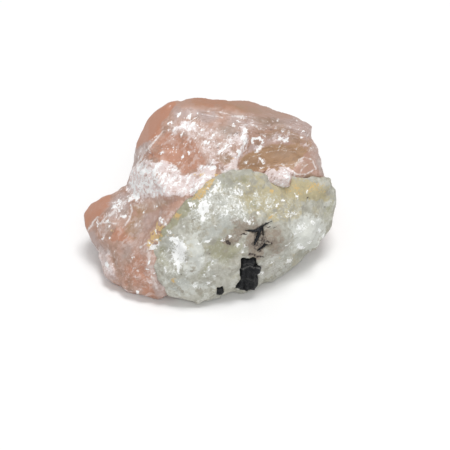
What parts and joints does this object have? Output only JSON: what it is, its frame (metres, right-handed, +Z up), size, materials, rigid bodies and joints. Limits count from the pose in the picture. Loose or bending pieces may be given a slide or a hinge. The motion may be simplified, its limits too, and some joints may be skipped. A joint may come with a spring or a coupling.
{
  "type": "morganite mineral specimen",
  "caption": "Rough lump of cloudy salmon-pink morganite grown round a pale grey-green lump with black tourmaline, resting on a flat broken underside.",
  "frame": {"origin": "middle of the stone's bounding box in plan, at the level of its flat underside", "axes": "+X along the stone's longest side, +Y towards its back, +Z up through its shortest side"},
  "size_m": [0.0522, 0.0372, 0.0315],
  "materials": {
    "morganite": "cloudy salmon-pink beryl, smooth fracture windows between frosted white breaks",
    "matrix": "granular pale grey-green, with white and ochre patches",
    "tourmaline": "black, striated, satin"
  },
  "bodies": {
    "root": {"morganite": "morganite", "matrix": "matrix", "tourmaline_large": "tourmaline", "tourmaline_small": "tourmaline", "tourmaline_needles": "tourmaline"}
  },
  "joints": []
}
